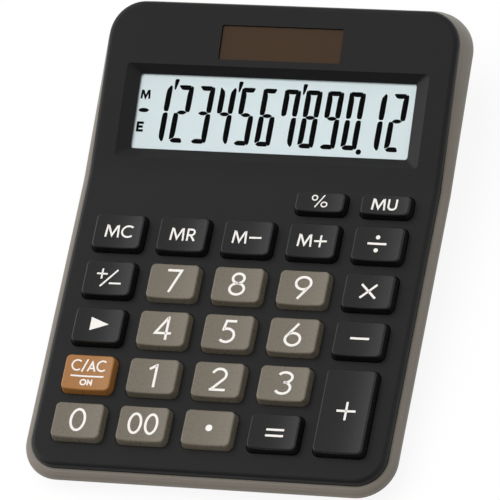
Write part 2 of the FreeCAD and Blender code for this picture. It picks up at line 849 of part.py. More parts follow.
def post_length(row):
    """Length of a tray post among the keys, from the underside of the board to the middle of the floor."""
    top = f"bend_z + ({gap_y(row)}) * sin(keyboard_tilt) + board_bottom * cos(keyboard_tilt)"
    return f"({top} - floor_top + floor_wall / 2) / cos(keyboard_tilt)"


def tray_posts():
    posts = []
    for column, row in CASE_SCREWS:
        length = post_length(row)
        posts.append(cylinder(f"post_{column}_{row}", "keyboard", "post_radius", length,
                              gap_x(column), gap_y(row), f"board_bottom - {length}"))
    for side, sign in SIDES.items():
        posts.append(cylinder("post_rear_" + side, "level", "post_radius",
                              "rear_post_height - floor_top + floor_wall / 2",
                              f"{sign} * rear_post_x", "panel_rear - rear_post_setback",
                              "floor_top - floor_wall / 2"))
    return posts


def tray_bores():
    """Clearance holes and head bores of the case screws."""
    hole = "screw_radius + bore_clearance"
    wide = "screw_head_radius + bore_clearance"
    bores = []
    for column, row in CASE_SCREWS:
        x, y, length = gap_x(column), gap_y(row), post_length(row)
        bores.append(cylinder(f"bore_{column}_{row}", "keyboard", hole, "2 * post_roof", x, y,
                              "board_bottom - 2 * post_roof"))
        bores.append(cylinder(f"head_bore_{column}_{row}", "keyboard", wide, length, x, y,
                              f"board_bottom - post_roof - {length}"))
    for side, sign in SIDES.items():
        x, y = f"{sign} * rear_post_x", "panel_rear - rear_post_setback"
        bores.append(cylinder("bore_rear_" + side, "level", hole, "2 * post_roof", x, y,
                              "rear_post_height - 2 * post_roof"))
        bores.append(cylinder("head_bore_rear_" + side, "level", wide, "rear_post_height - post_roof", x, y))
    return bores


def foot_places():
    ends = {"front": "base_front + foot_end_inset", "rear": "base_rear - foot_end_inset"}
    for end, y in ends.items():
        for side, sign in SIDES.items():
            yield f"foot_{end}_{side}", f"{sign} * (base_half - foot_side_inset)", y


def foot_seats():
    radius = "foot_radius + foot_clearance"
    return [cylinder("seat_of_" + name, "level", radius, "foot_rise + foot_sink", x, y)
            for name, x, y in foot_places()]


def make_feet():
    for name, x, y in foot_places():
        block = cylinder(name + "_block", "level", "foot_radius", "foot_rise + foot_sink", x, y)
        node(name, rounded(name, block, "foot_edge", [LOWER_CIRCLE]))


def door_cuts():
    """The seat of the battery door, the hole for the cell and the hole for the door screw."""
    seat = rounded_box("door_seat", "level", "door_width + 2 * door_clearance",
                       "door_length + 2 * door_clearance", "cell_bottom", "door_corner + door_clearance",
                       "cell_x + door_tab / 2", "cell_y")
    well = cylinder("cell_well", "level", "cell_ring_inner",
                    "cell_bottom + cell_ring_height + 2 * floor_wall", "cell_x", "cell_y")
    pilot = cylinder("door_pilot", "level", "screw_radius + pilot_clearance", "screw_bite + pilot_clearance",
                     "door_screw_x", "cell_y", "cell_bottom")
    return [seat, well, pilot]


def make_battery():
    cell = cylinder("cell_block", "level", "cell_radius", "cell_height", "cell_x", "cell_y", "cell_bottom")
    node("button_cell", rounded("button_cell", cell, "contact_wall", [UPPER_CIRCLE, LOWER_CIRCLE]))
    door = rounded_box("door_plate", "level", "door_width", "door_length", "door_wall", "door_corner",
                       "cell_x + door_tab / 2", "cell_y", "foot_rise")
    hole = cylinder("door_hole", "level", "screw_radius + bore_clearance", "2 * door_wall",
                    "door_screw_x", "cell_y", "foot_rise")
    sink = cylinder("door_sink", "level", "screw_head_radius + bore_clearance", "screw_slot_depth",
                    "door_screw_x", "cell_y", "foot_rise")
    node("battery_door", cut("battery_door", door, [hole, sink]))
    make_contacts()


def board_underside(y):
    """Height of the underside of the board at a place given in the level frame."""
    return f"bend_z + ({y} - bend_y) * tan(keyboard_tilt) + board_bottom / cos(keyboard_tilt)"


def make_contacts():
    """Sheet metal contacts from the button cell up to the board."""
    half = "contact_width / 2"
    blade = new_body("cell_contact_positive", "level", "cell_x + cell_radius + contact_wall / 2", "cell_y")
    outline = draw_polygon(body_sketch(blade, "outline", "YZ_Plane"), [
        (f"-{half}", "cell_bottom + contact_wall"),
        (half, "cell_bottom + contact_wall"),
        (half, board_underside(f"(cell_y + {half})")),
        (f"-{half}", board_underside(f"(cell_y - {half})")),
    ])
    pad(blade, outline, "contact_wall", both_ways=True)
    node("cell_contact_positive", blade)
    spring = new_body("cell_contact_negative", "level", "cell_x", "cell_y")
    leaf, wall = "contact_leaf", "contact_wall"
    outline = draw_polygon(body_sketch(spring, "outline", "YZ_Plane"), [
        (f"-{leaf} / 2", "cell_top"),
        (f"{leaf} / 2", "cell_top"),
        (f"{leaf} / 2", board_underside(f"(cell_y + {leaf} / 2)")),
        (f"-{leaf} / 2", board_underside(f"(cell_y - {leaf} / 2)")),
        (f"-{leaf} / 2", board_underside(f"(cell_y - {leaf} / 2)") + f" - {wall}"),
        (f"{leaf} / 2 - {wall}", board_underside(f"(cell_y + {leaf} / 2 - {wall})") + f" - {wall}"),
        (f"{leaf} / 2 - {wall}", f"cell_top + {wall}"),
        (f"-{leaf} / 2", f"cell_top + {wall}"),
    ])
    pad(spring, outline, "contact_width", both_ways=True)
    node("cell_contact_negative", spring)


def make_screw(name, frame, x, y, seat, reach, head="screw_head_height"):
    """A screw that points up: a shank above its seat, and below it a head with a crossed slot."""
    shank = cylinder(name + "_shank", frame, "screw_radius", reach, x, y, seat)
    cap = cylinder(name + "_head", frame, "screw_head_radius", head, x, y, f"{seat} - {head}")
    depth = f"{head} / 2"
    slots = [
        box(name + "_slot", frame, "screw_slot_length", "screw_slot_width", depth, x, y, f"{seat} - {head}"),
        box(name + "_cross", frame, "screw_slot_width", "screw_slot_length", depth, x, y, f"{seat} - {head}"),
    ]
    return cut(name, fuse(name + "_solid", [shank, cap]), slots)


def make_screws():
    case = [make_screw(f"case_screw_{column}_{row}", "keyboard", gap_x(column), gap_y(row),
                       "board_bottom - post_roof", "screw_reach") for column, row in CASE_SCREWS]
    case += [make_screw("case_screw_rear_" + side, "level", f"{sign} * rear_post_x",
                        "panel_rear - rear_post_setback", "rear_post_height - post_roof", "screw_reach")
             for side, sign in SIDES.items()]
    node("case_screws", group("case_screws", case))
    board = [make_screw(f"board_screw_{column}_{row}", "keyboard", gap_x(column), gap_y(row),
                        "board_bottom", "board_wall + screw_bite", "board_head_height")
             for column, row in BOARD_SCREWS]
    node("board_screws", group("board_screws", board))
    door = make_screw("battery_door_screw", "level", "door_screw_x", "cell_y", "foot_rise + screw_slot_depth",
                      "door_wall - screw_slot_depth + screw_bite", "screw_slot_depth")
    node("battery_door_screw", door)


def screw_holes(prefix, radius, bottom, height):
    """Holes through a sheet in the keyboard for every boss and post among the keys."""
    return [cylinder(f"{prefix}_{column}_{row}", "keyboard", radius, height,
                     gap_x(column), gap_y(row), bottom)
            for column, row in BOARD_SCREWS + CASE_SCREWS]


def make_board():
    length = "board_rear - board_front"
    sheet_part = rounded_box("board_sheet", "keyboard", "board_width", length, "board_wall", "boss_radius",
                             "0", "(board_rear + board_front) / 2", "board_bottom")
    holes = screw_holes("board_hole", "screw_radius + bore_clearance", "board_bottom - board_wall",
                        "3 * board_wall")
    node("circuit_board", cut("circuit_board", sheet_part, holes))
    column, row = CHIP_PLACE
    chip = cylinder("chip_block", "keyboard", "chip_radius", "chip_height", column_x(column), row_y(row),
                    "board_bottom - chip_height")
    node("controller_chip", rounded("controller_chip", chip, "chip_edge", [LOWER_CIRCLE]))
    column, row = CAPACITOR_PLACE
    can = cylinder("capacitor_block", "keyboard", "capacitor_radius", "capacitor_height",
                   column_x(column), row_y(row), "board_bottom - capacitor_height")
    node("smoothing_capacitor", rounded("smoothing_capacitor", can, "capacitor_edge", [LOWER_CIRCLE]))


def dome_places():
    """The middle of the dome under each key, with the radius of its foot."""
    for name, (column, row) in KEYS.items():
        foot = "short_dome_foot" if row == SHORT else "dome_foot"
        yield name, column_x(column), row_y(row), foot


def make_mat():
    length = "mat_rear - mat_front"
    sheet_part = rounded_box("mat_sheet", "keyboard", "mat_width", length, "mat_wall", "boss_radius",
                             "0", "(mat_rear + mat_front) / 2", "board_top")
    domes = [cone("dome_of_" + name, "keyboard", foot, "stem_radius", "dome_height", x, y, "mat_top")
             for name, x, y, foot in dome_places()]
    rooms = [cone("room_of_" + name, "keyboard", f"{foot} - dome_skin", "stem_radius - dome_skin",
                  "dome_height + mat_wall - 2 * dome_skin", x, y, "board_top")
             for name, x, y, foot in dome_places()]
    holes = screw_holes("mat_hole", "boss_radius + boss_hole_clearance", "board_top - mat_wall",
                        "3 * mat_wall")
    node("keypad_mat", cut("keypad_mat", fuse("mat_whole", [sheet_part] + domes), rooms + holes))


def make_display():
    middle = "recess_middle"
    node("display_lens", plate("display_lens", "display", "glass_width", "glass_length", "lens_wall",
                               "view_corner", y=middle, z="lens_bottom"))
    node("lcd_panel", plate("lcd_panel", "display", "glass_width", "glass_length", "lcd_wall",
                            "view_corner", y=middle, z="lcd_bottom"))
    frame = plate("lcd_holder", "display", "holder_width", "holder_length", "-plate_wall - holder_bottom",
                  "holder_wall", y=middle, z="holder_bottom")
    room = draw_rectangle(body_sketch(frame, "room", lift="holder_floor"),
                          "glass_width + 2 * holder_clearance", "glass_length + 2 * holder_clearance",
                          "view_corner")
    pocket(frame, room, "lens_wall + lcd_wall", upward=True)
    slot = draw_rectangle(body_sketch(frame, "slot", "XZ_Plane"), "ribbon_width + 2 * holder_clearance",
                          "2 * (holder_floor + lcd_wall)", "holder_clearance")
    pocket(frame, slot, "holder_length / 2", upward=True)
    node("lcd_holder", frame)


def display_point(along, below):
    """A place given on the display face, as a place in the frame of the keyboard face."""
    turn = "(display_tilt - keyboard_tilt)"
    rearward = f"({along}) * cos{turn} + ({below}) * sin{turn}"
    upward = f"({along}) * sin{turn} - ({below}) * cos{turn}"
    return rearward, upward


def strip(body, name, corners, thickness, width):
    """A bent strip: a line of corners in the upright plane, with its thickness above them."""
    above = [(x, f"{z} + {thickness}") for x, z in reversed(corners)]
    outline = draw_polygon(body_sketch(body, name, "YZ_Plane"), corners + above)
    pad(body, outline, width, both_ways=True)


def make_ribbon():
    """The flat ribbon from the front edge of the display down to the top of the board."""
    body = new_body("lcd_ribbon", "keyboard")
    slack = "ribbon_wall * sin(display_tilt - keyboard_tilt)"
    edge = display_point(f"recess_middle - glass_length / 2 - {slack}",
                         "plate_wall + lens_wall + lcd_wall / 2")
    corners = [
        ("board_rear - ribbon_landing", "board_top"),
        ("board_rear", "board_top"),
        edge,
    ]
    strip(body, "outline", corners, "ribbon_wall", "ribbon_width")
    node("lcd_ribbon", body)


def make_solar():
    window = new_body("solar_window", "display", y="solar_middle", z="solar_flange_bottom")
    flange = draw_rectangle(body_sketch(window, "flange"), "solar_width + 2 * solar_overlap",
                            "solar_length + 2 * solar_overlap", "solar_corner")
    pad(window, flange, "solar_flange")
    plug = draw_rectangle(body_sketch(window, "plug"), "solar_width - 2 * solar_clearance",
                          "solar_length - 2 * solar_clearance", "solar_corner")
    pad(window, plug, "solar_flange + plate_wall - solar_sink")
    node("solar_window", window)
    node("solar_cell", plate("solar_cell", "display", "solar_width + 2 * solar_overlap",
                             "solar_length + 2 * solar_overlap", "solar_cell_wall", "solar_corner",
                             y="solar_middle", z="solar_cell_bottom"))
    leads = []
    for side, sign in SIDES.items():
        lead = new_body("solar_lead_" + side, "keyboard", f"{sign} * lead_spacing / 2")
        under = "-holder_bottom + 2 * lead_wall"
        corners = [
            ("board_rear - ribbon_landing", "board_bottom - lead_wall"),
            ("board_rear", "board_bottom - lead_wall"),
            display_point("recess_setback", under),
            display_point("recess_middle + holder_length / 2", under),
            display_point("solar_middle", "-solar_cell_bottom + lead_wall"),
        ]
        strip(lead, "outline", corners, "lead_wall", "lead_wall")
        leads.append(lead)
    node("solar_leads", group("solar_leads", leads))


def check():
    """Stop if anything failed, or if a sub-part is empty or broken."""
    failed = [item.Name for item in doc.Objects if {"Invalid", "Error"} & set(item.State)]
    if failed:
        raise RuntimeError("failed: " + ", ".join(failed))
    for name, thing in nodes.items():
        if thing.Shape.isNull() or not thing.Shape.isValid():
            raise RuntimeError("broken shape: " + name)


def write():
    os.makedirs("parts", exist_ok=True)
    for name, thing in nodes.items():
        thing.Shape.exportStep(f"parts/{name}.step")
        print(name, len(thing.Shape.Solids), round(thing.Shape.Volume, 2))


fill_sheet()
make_upper_case()
make_lower_case()
make_feet()
make_battery()
make_screws()
make_board()
make_mat()
make_display()
make_ribbon()
make_solar()
make_keys()
doc.recompute()
check()
write()
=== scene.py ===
import json
import math

import bmesh
import bpy
from mathutils import Matrix, Vector


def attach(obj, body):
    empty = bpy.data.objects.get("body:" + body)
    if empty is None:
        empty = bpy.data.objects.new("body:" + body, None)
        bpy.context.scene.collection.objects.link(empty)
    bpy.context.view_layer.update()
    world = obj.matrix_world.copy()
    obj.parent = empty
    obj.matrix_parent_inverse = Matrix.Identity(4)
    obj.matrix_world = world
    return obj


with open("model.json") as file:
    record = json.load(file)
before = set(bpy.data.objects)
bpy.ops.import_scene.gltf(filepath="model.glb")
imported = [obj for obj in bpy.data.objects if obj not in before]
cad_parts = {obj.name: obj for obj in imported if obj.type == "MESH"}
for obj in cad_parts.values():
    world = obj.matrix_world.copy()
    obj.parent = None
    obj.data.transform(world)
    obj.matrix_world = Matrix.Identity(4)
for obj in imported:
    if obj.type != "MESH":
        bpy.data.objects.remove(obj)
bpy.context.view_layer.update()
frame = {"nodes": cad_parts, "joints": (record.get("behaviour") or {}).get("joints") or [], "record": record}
nodes = frame["nodes"]

# Desk calculator: finishes of the solids, the printed key legends and the figures of the display.
MM = 0.001
SIDE = Vector((1, 0, 0))


# Frames of the two faces

def face_frame(normal, origin=Vector()):
    """A frame whose first axis runs to the right, and whose third axis is the normal."""
    rearward = normal.cross(SIDE)
    turn = Matrix((SIDE, rearward, normal)).transposed()
    return Matrix.Translation(origin) @ turn.to_4x4()


def local_extent(name, turn):
    """Lowest and highest corner of a node, measured along the axes of a frame."""
    inverse = turn.inverted()
    points = [inverse @ vertex.co for vertex in nodes[name].data.vertices]
    low = Vector([min(point[axis] for point in points) for axis in range(3)])
    high = Vector([max(point[axis] for point in points) for axis in range(3)])
    return low, high


def top_frame(name, normal):
    """The frame in the middle of the top of a node."""
    turn = face_frame(normal)
    low, high = local_extent(name, turn)
    middle = (low + high) / 2
    return face_frame(normal, turn @ Vector((middle.x, middle.y, high.z)))


def widest_normal(name):
    """The upward normal of the largest face of a node."""
    faces = [face for face in nodes[name].data.polygons if face.normal.z > 0]
    return max(faces, key=lambda face: face.area).normal.copy()


KEYBOARD_NORMAL = -Vector(frame["joints"][0]["axis"]).normalized()
DISPLAY_NORMAL = widest_normal("lcd_panel")


# Materials: scales of the noises in features per metre, and how much each changes colour or sheen

NOISE_LOW = 0.3
NOISE_HIGH = 0.7
CLOUD_SCALE = 60
CLOUD_TINT = 0.025
SHEEN_SCALE = 900
SHEEN_CHANGE = 0.015
GRAIN_SCALE = 2600
GRAIN_DETAIL = 2.0
GRAIN = 0.006 * MM
STREAK_SCALE = 900
STREAK_DETAIL = 4.0
STREAK_TINT = 0.06
STREAK_SHEEN = 0.08
STREAK_DEPTH = 0.002 * MM
LENS_ROUGHNESS = 0.08
LENS_SCALE = 400
LENS_SHEEN = (0.05, 0.12)
REFLECTOR = (0.66, 0.755, 0.772)
REFLECTOR_ROUGHNESS = 0.45
REFLECTOR_SPECULAR = 0.3
REFLECTOR_CLOUD = 45
REFLECTOR_TINT = 0.012
REFLECTOR_GRAIN_SCALE = 4000
REFLECTOR_GRAIN_DETAIL = 1.0
REFLECTOR_GRAIN = 0.002 * MM
SOLAR_SPECULAR = 0.2
SOLAR_CLOUD = 120
SOLAR_STRETCH = (1, 0.2, 0.2)
SOLAR_TINT = 0.03
SOLAR_SHEEN_SCALE = 700
SOLAR_SHEEN = 0.02
BOARD_GREEN = (0.02, 0.13, 0.045)
BOARD_ROUGHNESS = 0.35
TRACK_SCALE = 320
TRACK_DETAIL = 0.0
TRACK_STRETCH = (1, 0.15, 1)
TRACK_TINT = 0.35
TRACK_DEPTH = 0.03 * MM
PAINT_SCALE = 700
PAINT_TINT = 0.02


def new_material(name, colour, roughness, metallic=0.0, specular=0.5):
    """A material of one colour and sheen, and its shader."""
    material = bpy.data.materials.new(name)
    material.use_nodes = True
    shader = material.node_tree.nodes["Principled BSDF"]
    shader.inputs["Base Color"].default_value = (*colour, 1)
    shader.inputs["Roughness"].default_value = roughness
    shader.inputs["Metallic"].default_value = metallic
    shader.inputs["Specular IOR Level"].default_value = specular
    return material, shader


def noise(material, scale, detail=3.0, stretch=(1, 1, 1)):
    """Noise fixed to the object, with its scale in features per metre."""
    tree = material.node_tree
    place = tree.nodes.new("ShaderNodeTexCoord")
    mapping = tree.nodes.new("ShaderNodeMapping")
    mapping.inputs["Scale"].default_value = stretch
    texture = tree.nodes.new("ShaderNodeTexNoise")
    texture.inputs["Scale"].default_value = scale
    texture.inputs["Detail"].default_value = detail
    tree.links.new(place.outputs["Object"], mapping.inputs["Vector"])
    tree.links.new(mapping.outputs["Vector"], texture.inputs["Vector"])
    return texture.outputs["Fac"]


def vary_sheen(material, shader, source, low, high):
    """Let the roughness run from low to high over the middle of a noise."""
    node = material.node_tree.nodes.new("ShaderNodeMapRange")
    node.inputs["From Min"].default_value = NOISE_LOW
    node.inputs["From Max"].default_value = NOISE_HIGH
    node.inputs["To Min"].default_value = low
    node.inputs["To Max"].default_value = high
    material.node_tree.links.new(source, node.inputs["Value"])
    material.node_tree.links.new(node.outputs["Result"], shader.inputs["Roughness"])


def tint(material, shader, source, colour, amount):
    """Vary the base colour a little lighter and darker along a noise."""
    ramp = material.node_tree.nodes.new("ShaderNodeValToRGB")
    dark, light = ramp.color_ramp.elements
    dark.position, light.position = NOISE_LOW, NOISE_HIGH
    dark.color = (*[channel * (1 - amount) for channel in colour], 1)
    light.color = (*[channel * (1 + amount) for channel in colour], 1)
    material.node_tree.links.new(source, ramp.inputs["Fac"])
    material.node_tree.links.new(ramp.outputs["Color"], shader.inputs["Base Color"])


def bump(material, shader, source, height):
    """Raise the surface a little along a noise."""
    node = material.node_tree.nodes.new("ShaderNodeBump")
    node.inputs["Strength"].default_value = 1.0
    node.inputs["Distance"].default_value = height
    material.node_tree.links.new(source, node.inputs["Height"])
    material.node_tree.links.new(node.outputs["Normal"], shader.inputs["Normal"])


def moulded(name, colour, roughness, grain=GRAIN, specular=0.4):
    """Moulded plastic: a spark-eroded grain, faint cloudy colour and a sheen that varies a little."""
    material, shader = new_material(name, colour, roughness, specular=specular)
    tint(material, shader, noise(material, CLOUD_SCALE), colour, CLOUD_TINT)
    sheen = noise(material, SHEEN_SCALE)
    vary_sheen(material, shader, sheen, roughness - SHEEN_CHANGE, roughness + SHEEN_CHANGE)
    bump(material, shader, noise(material, GRAIN_SCALE, GRAIN_DETAIL), grain)
    return material


def metal(name, colour, roughness):
    """Plated or drawn metal with fine streaks."""
    material, shader = new_material(name, colour, roughness, metallic=1.0)
    streaks = noise(material, STREAK_SCALE, STREAK_DETAIL)
    tint(material, shader, streaks, colour, STREAK_TINT)
    vary_sheen(material, shader, streaks, roughness - STREAK_SHEEN, roughness + STREAK_SHEEN)
    bump(material, shader, streaks, STREAK_DEPTH)
    return material


def clear_plastic(name, colour, alpha):
    """A clear moulded window with a polished face."""
    material, shader = new_material(name, colour, LENS_ROUGHNESS)
    shader.inputs["Alpha"].default_value = alpha
    vary_sheen(material, shader, noise(material, LENS_SCALE), *LENS_SHEEN)
    return material


def display_surface():
    """The pale reflector of the display, with a faint grain."""
    material, shader = new_material("display_surface", REFLECTOR, REFLECTOR_ROUGHNESS,
                                    specular=REFLECTOR_SPECULAR)
    tint(material, shader, noise(material, REFLECTOR_CLOUD), REFLECTOR, REFLECTOR_TINT)
    grain = noise(material, REFLECTOR_GRAIN_SCALE, REFLECTOR_GRAIN_DETAIL)
    bump(material, shader, grain, REFLECTOR_GRAIN)
    return material


def solar_surface(name, colour, roughness):
    """The smoked solar window or the dark cell behind it, with faint streaks."""
    material, shader = new_material(name, colour, roughness, specular=SOLAR_SPECULAR)
    tint(material, shader, noise(material, SOLAR_CLOUD, stretch=SOLAR_STRETCH), colour, SOLAR_TINT)
    sheen = noise(material, SOLAR_SHEEN_SCALE)
    vary_sheen(material, shader, sheen, roughness - SOLAR_SHEEN, roughness + SOLAR_SHEEN)
    return material


def circuit_surface():
    """Solder mask with streaks like those of copper tracks under it."""
    material, shader = new_material("circuit_surface", BOARD_GREEN, BOARD_ROUGHNESS)
    tracks = noise(material, TRACK_SCALE, TRACK_DETAIL, TRACK_STRETCH)
    tint(material, shader, tracks, BOARD_GREEN, TRACK_TINT)
    bump(material, shader, tracks, TRACK_DEPTH)
    return material


def plain_paint(name, colour, roughness, specular=0.3):
    """Printed ink or paint with a faint unevenness."""
    material, shader = new_material(name, colour, roughness, specular=specular)
    tint(material, shader, noise(material, PAINT_SCALE), colour, PAINT_TINT)
    return material


BLACK = (0.006, 0.006, 0.006)
TAUPE = (0.174, 0.153, 0.126)
CASE_GRAIN = 0.004 * MM
RUBBER_GRAIN = 0.012 * MM
KEY_COLOURS = {"black_key": BLACK, "taupe_key": (0.15, 0.13, 0.098), "orange_key": (0.345, 0.15, 0.04)}
KEY_ROUGHNESS = 0.28
KEY_GRAIN = 0.0003 * MM
KEY_SPECULAR = 0.5

SURFACES = {
    "black_case": moulded("black_case_surface", BLACK, 0.45, CASE_GRAIN, specular=0.32),
    "taupe_case": moulded("taupe_case_surface", TAUPE, 0.42, specular=0.5),
    "clear_lens": clear_plastic("clear_lens_surface", (0.05, 0.055, 0.055), 0.03),
    "display_glass": display_surface(),
    "inner_plastic": moulded("inner_plastic_surface", (0.55, 0.55, 0.53), 0.5),
    "ribbon_film": plain_paint("ribbon_film_surface", (0.42, 0.22, 0.05), 0.35),
    "solar_window": solar_surface("solar_window_surface", (0.05, 0.027, 0.0135), 0.25),
    "solar_cell": solar_surface("solar_cell_surface", (0.03, 0.02, 0.018), 0.3),
    "lead_wire": plain_paint("lead_wire_surface", (0.45, 0.03, 0.025), 0.4),
    "board": circuit_surface(),
    "resin": moulded("resin_surface", (0.01, 0.01, 0.01), 0.2),
    "capacitor_can": metal("capacitor_can_surface", (0.62, 0.62, 0.64), 0.3),
    "silicone": moulded("silicone_surface", (0.5, 0.5, 0.48), 0.6),
    "cell_steel": metal("cell_steel_surface", (0.66, 0.66, 0.65), 0.28),
    "contact_steel": metal("contact_steel_surface", (0.68, 0.67, 0.62), 0.3),
    "screw_steel": metal("screw_steel_surface", (0.55, 0.55, 0.55), 0.35),
    "foot_rubber": moulded("foot_rubber_surface", (0.025, 0.025, 0.025), 0.75, RUBBER_GRAIN),
}
for slot, key_colour in KEY_COLOURS.items():
    SURFACES[slot] = moulded(slot + "_surface", key_colour, KEY_ROUGHNESS, KEY_GRAIN, KEY_SPECULAR)
LEGEND_WHITE = plain_paint("legend_white", (0.84, 0.81, 0.77), 0.4)
DISPLAY_BLACK = plain_paint("display_black", (0.0012, 0.0012, 0.0014), 0.5, specular=0.02)


def finish_nodes():
    """Give every solid the surface of its slot."""
    for part in frame["record"]["subparts"]:
        thing = nodes[part["node"]]
        thing.data.materials.clear()
        thing.data.materials.append(SURFACES[part["material_slot"]])


# Lettering: every sign is a set of strokes, in units of its height, with its own width

ARC_STEPS = 28


def arc(x, y, across, up, start, end):
    """Points along an ellipse, with its angles in degrees."""
    angles = [math.radians(start + (end - start) * step / ARC_STEPS) for step in range(ARC_STEPS + 1)]
    return [(x + across * math.cos(angle), y + up * math.sin(angle)) for angle in angles]


SIGNS = {
    "0": (0.64, [arc(0.32, 0.5, 0.255, 0.445, 90, 450)]),
    "1": (0.42, [[(0.05, 0.77), (0.3, 0.95)], [(0.3, 1), (0.3, 0)]]),
    "2": (0.64, [arc(0.35, 0.69, 0.25, 0.255, 165, -38) + [(0.12, 0.05)], [(0.06, 0.05), (0.65, 0.05)]]),
    "3": (0.62, [arc(0.335, 0.735, 0.26, 0.215, 150, -90), arc(0.305, 0.29, 0.275, 0.245, 90, -150)]),
    "4": (0.68, [[(0.49, 0.97), (0.09, 0.28), (0.68, 0.28)], [(0.5, 1), (0.5, 0)]]),
    "5": (0.62, [[(0.58, 0.95), (0.21, 0.95), (0.13, 0.53)], arc(0.285, 0.335, 0.275, 0.285, 128, -140)]),
    "6": (0.66, [arc(0.33, 0.32, 0.275, 0.265, 90, 450), [(0.47, 1), (0.11, 0.47)]]),
    "7": (0.62, [[(0.06, 0.95), (0.57, 0.95), (0.22, 0)]]),
    "8": (0.62, [arc(0.31, 0.745, 0.21, 0.205, 90, 450), arc(0.31, 0.29, 0.265, 0.24, 90, 450)]),
    "9": (0.66, [arc(0.33, 0.68, 0.275, 0.265, 90, 450), [(0.19, 0), (0.55, 0.53)]]),
    "A": (0.74, [[(0.04, 0), (0.37, 0.81), (0.7, 0)], [(0.15, 0.27), (0.59, 0.27)]]),
    "C": (0.9, [arc(0.5, 0.5, 0.45, 0.44, 48, 312)]),
    "E": (0.78, [[(0.72, 0.9), (0.12, 0.9), (0.12, 0.1), (0.72, 0.1)], [(0.12, 0.5), (0.66, 0.5)]]),
    "M": (1.04, [[(0.08, 0), (0.14, 1)], [(0.2, 0.94), (0.52, 0.15), (0.84, 0.94)], [(0.9, 1), (0.97, 0)]]),
    "N": (0.8, [[(0.1, 0), (0.1, 1)], [(0.1, 0.88), (0.7, 0.12)], [(0.7, 0), (0.7, 1)]]),
    "O": (0.98, [arc(0.49, 0.5, 0.42, 0.43, 90, 450)]),
    "R": (0.7, [[(0.1, 0), (0.1, 0.92)] + arc(0.34, 0.69, 0.23, 0.23, 90, -90) + [(0.1, 0.46)],
                [(0.32, 0.46), (0.62, 0)]]),
    "U": (0.76, [[(0.09, 1)] + arc(0.38, 0.36, 0.29, 0.28, 180, 360) + [(0.67, 1)]]),
    "/": (0.42, [[(0.02, -0.06), (0.4, 1.04)]]),
    "+": (0.94, [[(0.02, 0.48), (0.92, 0.48)], [(0.47, 0.0), (0.47, 0.96)]]),
    "-": (0.94, [[(0.03, 0.5), (0.91, 0.5)]]),
    "%": (1.12, [arc(0.22, 0.76, 0.17, 0.19, 90, 450), arc(0.9, 0.25, 0.19, 0.19, 90, 450),
                 [(0.3, 0.0), (0.86, 1.0)]]),
}


def words(text, height, gap=0.0, place=(0, 0), stretch=1.0):
    """Strokes of a line of signs, centred on a place, in millimetres."""
    total = sum(SIGNS[sign][0] for sign in text) + gap * (len(text) - 1)
    left = -total / 2
    paths = []
    for sign in text:
        width, strokes = SIGNS[sign]
        for stroke in strokes:
            paths.append([(place[0] + (left + across) * height * stretch, place[1] + (up - 0.5) * height)
                          for across, up in stroke])
        left += width + gap
    return paths


def bar(length, x=0.0, y=0.0, turn=0.0):
    """A straight stroke centred on a place, turned by an angle in degrees."""
    half_x = math.cos(math.radians(turn)) * length / 2
    half_y = math.sin(math.radians(turn)) * length / 2
    return [(x - half_x, y - half_y), (x + half_x, y + half_y)]


def cross(length, place):
    """A level and an upright stroke that cross in a place."""
    return [bar(length, *place), bar(length, *place, turn=90)]


def dot(radius, x=0.0, y=0.0):
    """The outline of a round dot."""
    return arc(x, y, radius, radius, 0, 360)[:-1]


MITRE_LIMIT = 0.28
TURN_BACK = 0.01
SAME_PLACE = 1e-6
PRINT_RISE = 0.02 * MM
PRINT_DEPTH = 0.05 * MM


def edge_offsets(points, closed):
    """For each point of a path, the offset to the left edge of a stroke of width 2."""
    count = len(points)
    normals = []
    for index in range(count - 1):
        ahead = points[index + 1] - points[index]
        normals.append(Vector((-ahead.y, ahead.x)).normalized())
    offsets = []
    for index in range(count):
        before = normals[index - 1] if index else (normals[-1] if closed else normals[0])
        after = normals[index] if index < count - 1 else (normals[0] if closed else normals[-1])
        middle = before + after
        middle = middle.normalized() if middle.length > TURN_BACK else after
        offsets.append(middle / max(middle.dot(after), MITRE_LIMIT))
    return offsets


def add_stroke(mesh, path, width):
    """A flat stroke of even width along a path."""
    points = [Vector(point) for point in path]
    closed = (points[0] - points[-1]).length < SAME_PLACE
    pairs = []
    for point, offset in zip(points, edge_offsets(points, closed)):
        left, right = point + offset * width / 2, point - offset * width / 2
        pairs.append((mesh.verts.new((*left, 0)), mesh.verts.new((*right, 0))))
    for (left, right), (next_left, next_right) in zip(pairs, pairs[1:]):
        mesh.faces.new((left, right, next_right, next_left))


def add_patch(mesh, outline):
    """A flat filled outline, given counter-clockwise."""
    mesh.faces.new([mesh.verts.new((*point, 0)) for point in outline])


def print_piece(name, mesh, material, body):
    """Turn a mesh that lies in place into a thin printed layer that rides on a body."""
    data = bpy.data.meshes.new(name)
    mesh.to_mesh(data)
    mesh.free()
    piece = bpy.data.objects.new(name, data)
    bpy.context.scene.collection.objects.link(piece)
    data.materials.append(material)
    layer = piece.modifiers.new("layer", "SOLIDIFY")
    layer.thickness = PRINT_DEPTH
    layer.offset = -1
    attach(piece, body)


# Legends of the keys, in millimetres

